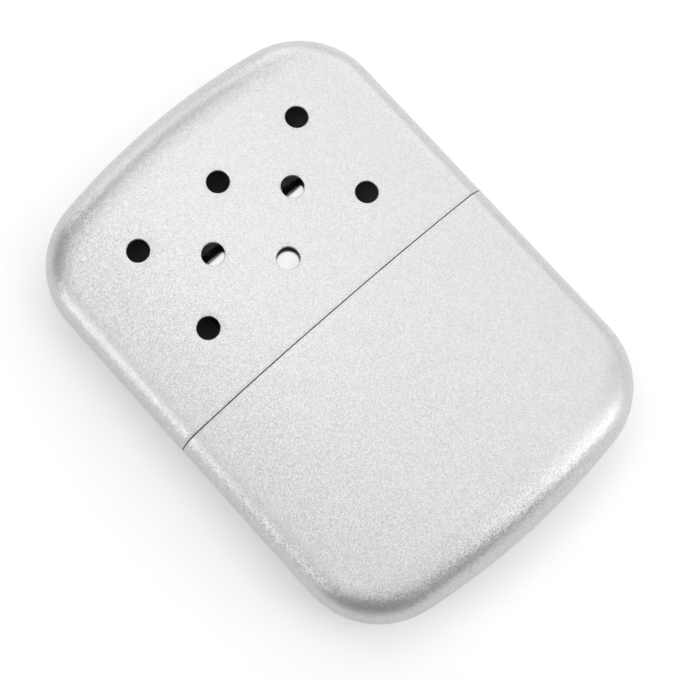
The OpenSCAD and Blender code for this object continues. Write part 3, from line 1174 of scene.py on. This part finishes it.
def half_depth(node: str) -> float:
    """Half of a node's depth from front to back, in millimetres."""
    low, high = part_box(node)
    return (high.z - low.z) / MM / 2


@dataclass
class Shells:
    """The two drawn shells that show in the photo."""

    dresser: Dresser

    def build(self) -> None:
        """Makes the cap and the tank."""
        form, piece = self.dresser.form, self.dresser.piece
        # the lining's dark grey is partly painted shade inside the shells and in the seam slot
        coat, lining = PowderCoat().material(), TinplatePaintedShade().material()
        fine = ShellGrid(rim_rows=10, panel_rows=72, top_rows=18, side_columns=12, panel_columns=120)
        cap = DrawnCup(form, form.cap_l, fine, VentPattern())
        piece(cap.surface(), "cap_skin", [coat, lining], "cap", "cap_shell", "silver_coat")
        plain = ShellGrid(rim_rows=6, panel_rows=26, top_rows=18, side_columns=8, panel_columns=56)
        tank = DrawnCup(form, form.tank_l, plain)
        piece(tank.surface().mirrored(1), "tank_skin", [coat, lining], "tank", "tank_shell", "silver_coat")


@dataclass
class TankFittings:
    """What closes and fills the tank: collar, neck, grille, felt and wadding."""

    dresser: Dresser
    oblong: Oblong
    bead_over: float = 0.3
    neck_gap: float = 0.05
    felt_round: float = 0.6
    batt_gap: float = 0.02
    mouth_gap: float = 0.05

    def build(self) -> None:
        """Makes the collar, the neck and the filling, and finishes the grille."""
        form, piece = self.dresser.form, self.dresser.piece
        foot, rise = heights("shoulder_collar", form)
        base, top = heights("filler_neck", form)
        neck = FillerNeck(self.oblong, base, top, half_depth("filler_neck"), rise + self.bead_over)
        collar = ShoulderCollar(form, self.oblong, -foot, rise, neck.outside + self.neck_gap)
        nickel, brass = NickelPlate().material(), DrawnBrass().material()
        piece(collar.surface(), "collar_plated", [nickel], "tank", "shoulder_collar", "bright_plate")
        piece(neck.surface(), "neck_brass", [brass], "tank", "filler_neck", "brass")
        self.dresser.coat("neck_grille", RolledStainless().material())
        self.felt()
        self.wadding()

    def felt(self) -> None:
        """The wick felt under the neck: a pressed pad with softened edges."""
        low, high = heights("wick_felt", self.dresser.form)
        half, r = half_depth("wick_felt"), self.felt_round
        edge = filleted([(0.0, low), (half, low), (half, high), (0.0, high)], [0, r, r, 0], 6)
        inner = np.linspace(0, half - r, 6)[:-1]
        under = np.stack([inner, np.full_like(inner, low)], -1)
        over = np.stack([inner[::-1], np.full_like(inner, high)], -1)
        pad = SoftPad(self.oblong, np.vstack([under, edge[1:-1], over]), unevenness=0.06)
        wool = MattedFibre("pressed_wool_felt", "#d6cdb8", "#ece5d4").material()
        made = self.dresser.piece(pad.surface(), "felt_pad", [wool], "tank", "wick_felt", "wool_felt")

    def wadding(self) -> None:
        """Three batts of cotton; the middle one reaches further to the sides."""
        form, gap = self.dresser.form, self.batt_gap
        finish = MattedFibre("cotton_wadding", "#e9e6de", "#f8f6f0", fibre=0.08, clump=3.0, sheen=0.5)
        cotton = finish.material()
        inset = form.half_t * 2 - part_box("wadding_front")[1].z / MM
        for place, reach in (("front", 0.6), ("middle", 0.1), ("back", 0.6)):
            node = "wadding_" + place
            low, high = (np.array(corner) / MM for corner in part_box(node))
            batt = Batt(
                form, low[2] - form.half_t + gap, high[2] - form.half_t - gap, inset + gap,
                form.half_w - high[0] + reach, high[1] - form.seam_y - self.mouth_gap)
            name = "cotton_batt_" + place
            made = self.dresser.piece(batt.surface(), name, [cotton], "tank", node, "cotton")


@dataclass
class BurnerHead:
    """The lift-off burner: plated cover, frame, gauze, mat, guard and grip springs."""

    dresser: Dresser
    oblong: Oblong
    mat_shoulder: float = 1.75
    mat_gap: float = 0.02
    mat_bevel: float = 0.15
    mat_edge: float = 0.2
    mat_step: float = 0.03

    def build(self) -> None:
        """Makes the cover and the mat, and finishes the sheet-metal pieces."""
        foot, top = heights("burner_cover", self.dresser.form)
        cover = BurnerCover(self.oblong, foot, top, half_depth("burner_cover")).surface()
        plate = NickelPlate("bright_nickel_cover").material()
        self.dresser.piece(cover, "cover_plated", [plate], "burner", "burner_cover", "bright_plate")
        self.mat()
        steel = RolledStainless("burner_stainless").material()
        for node in ("burner_frame", "support_gauze", "catalyst_guard", "grip_spring_front",
                     "grip_spring_back"):
            self.dresser.coat(node, steel)

    def mat(self) -> None:
        """The catalyst mat, which swells up into the guard's dome by a square law."""
        form = self.dresser.form
        low, high = heights("catalyst_mat", form)
        foot = heights("catalyst_guard", form)[0]
        half = half_depth("catalyst_mat")
        swell = np.linspace(1, 0, 9)
        rise = foot - self.mat_gap + (high - foot - self.mat_gap) * (1 - swell ** 2)
        under = np.linspace(0, half, 7)[:-1]
        profile = np.vstack([
            np.stack([under, np.full_like(under, low)], -1),
            [(half - self.mat_bevel, low), (half, low + self.mat_bevel)],
            [(half, foot - self.mat_edge), (half - self.mat_edge, foot - self.mat_step)],
            np.stack([(half - self.mat_shoulder) * swell, rise], -1),
        ])
        pad = SoftPad(self.oblong, profile, unevenness=0.04, lump=0.8)
        glass = MattedFibre("catalysed_glass_fibre", "#8f8a82", "#c9c4ba", fibre=0.09, clump=0.7,
                            sheen=0.1, depth=0.08).material()
        surface = pad.surface()
        made = self.dresser.piece(surface, "mat_fibre", [glass], "burner", "catalyst_mat", "glass_fibre")


# ---------------------------------------------------------------- studio and camera


def towards(bearing: float, elevation: float) -> Vector:
    """The direction of a bearing, from -y round to +x, and an elevation over the floor, in degrees."""
    turn, rise = math.radians(bearing), math.radians(elevation)
    return Vector((math.sin(turn) * math.cos(rise), -math.cos(turn) * math.cos(rise), math.sin(rise)))


@dataclass(frozen=True)
class Softbox:
    """A square lamp that faces the warmer, set by where it stands and how bright its cloth is."""

    name: str
    bearing: float
    elevation: float
    brightness: float
    distance: float = 0.7
    size: float = 0.35

    def build(self, aim: Vector) -> bpy.types.Object:
        """Makes the lamp. Its power is its cloth's brightness times its area times pi.

        Args:
            aim: The point that it faces, in metres.

        Returns:
            The lamp.
        """
        away = towards(self.bearing, self.elevation)
        data = bpy.data.lights.new(self.name, "AREA")
        data.shape = "SQUARE"
        data.size = self.size
        data.energy = self.brightness * self.size ** 2 * math.pi
        lamp = bpy.data.objects.new(self.name, data)
        lamp.location = aim + away * self.distance
        lamp.rotation_mode = "QUATERNION"
        lamp.rotation_quaternion = away.to_track_quat("Z", "Y")
        bpy.context.scene.collection.objects.link(lamp)
        return lamp


@dataclass
class Studio:
    """The paper floor, the pale surroundings and the softboxes."""

    surround: str = "#3c3c3c"
    floor_half: float = 3.0
    aim_height: float = 0.0075
    boxes: tuple[Softbox, ...] = (
        Softbox("overhead", 0, 90, 1.08, size=0.9),
        Softbox("cap_end_near", 180, 66, 0.8, distance=0.3, size=0.2),
        Softbox("tank_end", 0, 42, 0.4, size=0.5),
        Softbox("key", 36, 42, 1.4, size=0.5),
        Softbox("right", 108, 42, 1.25, size=0.5),
        Softbox("left", 252, 42, 1.35),
        Softbox("key_low", 36, 18, 2.4),
        Softbox("right_low", 72, 18, 1.0),
        Softbox("cap_right_low", 108, 18, 1.2),
        Softbox("cap_corner_low", 144, 18, 2.1),
        Softbox("cap_end_low", 180, 18, 1.9),
        Softbox("left_low", 252, 18, 2.6),
    )

    def build(self) -> None:
        """Makes the floor, the world and the lamps."""
        corners = np.array([(-1, -1, 0), (1, -1, 0), (1, 1, 0), (-1, 1, 0)]) * self.floor_half / MM
        sheet = Surface(corners, np.array([[0, 1, 2, 3]]), np.zeros(1, int))
        floor = sheet.object("studio_floor", [StudioPaper().material()], Vector((0, 0, 0)))
        world = bpy.data.worlds.new("studio")
        tree = cleared(world)
        plain = add(tree, "Background", {"Color": linear(self.surround)})
        add(tree, "OutputWorld", {"Surface": plain.outputs[0]})
        bpy.context.scene.world = world
        for box in self.boxes:
            box.build(Vector((0, 0, self.aim_height)))
        log.info("studio: %d softboxes", len(self.boxes))


@dataclass(frozen=True)
class PhotoCamera:
    """The camera that took the photo, worked out from the outline, the seam and the vents."""

    aim: Triple = (-1.620, -2.094, 7.5)
    distance: float = 386.08
    elevation: float = 76.574
    bearing: float = -48.878
    roll: float = -7.029
    lens: float = 120.76
    sensor: float = 36.0
    clip: Pair = (0.01, 20)

    def build(self) -> bpy.types.Object:
        """Makes the camera. Roll turns it about its own line of sight, from upright."""
        away, roll = towards(self.bearing, self.elevation), math.radians(self.roll)
        look = -away
        upright = (Vector((0, 0, 1)) - look * look.z).normalized()
        level = look.cross(upright)
        up = upright * math.cos(roll) + level * math.sin(roll)
        right = look.cross(up)
        data = bpy.data.cameras.new("photo_camera")
        data.sensor_width = self.sensor
        data.lens = self.lens
        data.clip_start, data.clip_end = self.clip
        camera = bpy.data.objects.new("photo_camera", data)
        camera.matrix_world = Matrix((right, up, away)).transposed().to_4x4()
        camera.location = (Vector(self.aim) + away * self.distance) * MM
        bpy.context.scene.collection.objects.link(camera)
        bpy.context.scene.camera = camera
        return camera


def main() -> None:
    """Builds the camera, the studio and the warmer, piece by piece."""
    bpy.context.scene.view_settings.view_transform = "Standard"
    PhotoCamera().build()
    Studio().build()
    form = DrawnForm.from_frame()
    dresser = Dresser(form)
    low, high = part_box("burner_cover")
    oblong = Oblong(((high.x - low.x) - (high.z - low.z)) / 2 / MM)
    Shells(dresser).build()
    TankFittings(dresser, oblong).build()
    BurnerHead(dresser, oblong).build()


if __name__ == "__main__":
    main()
